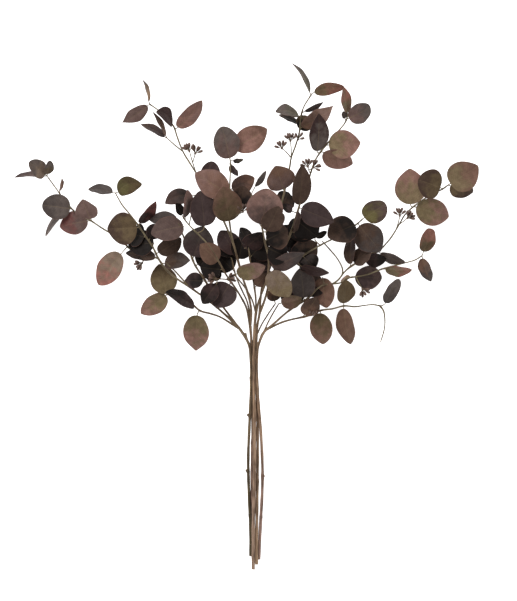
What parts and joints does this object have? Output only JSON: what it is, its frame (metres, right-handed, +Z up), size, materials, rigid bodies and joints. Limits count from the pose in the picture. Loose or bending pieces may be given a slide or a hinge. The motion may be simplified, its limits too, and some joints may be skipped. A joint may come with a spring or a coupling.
{
  "type": "eucalyptus gum nut sprig",
  "caption": "Cut leafy eucalyptus stems with clusters of small seed capsules, a natural bunch that lies on a flat surface.",
  "frame": {"origin": "on the surface that the bunch lies on, under the middle of its bounding box", "axes": "+Y from the cut stem ends to the leaf tips, +Z up from the surface, +X to the right seen from above with the tips away"},
  "size_m": [0.5597, 0.6104, 0.1171],
  "materials": {
    "stem_left": "matte velvety leaves, plum grey to olive",
    "stem_upper_left": "matte velvety leaves, mauve grey",
    "stem_centre": "matte velvety leaves, pale mauve",
    "stem_upper_right": "matte velvety leaves, dark plum",
    "stem_right": "matte velvety leaves, olive brown"
  },
  "bodies": {
    "root": {"stem_left": "stem_left", "stem_upper_left": "stem_upper_left", "stem_centre": "stem_centre", "stem_upper_right": "stem_upper_right", "stem_right": "stem_right"}
  },
  "joints": []
}
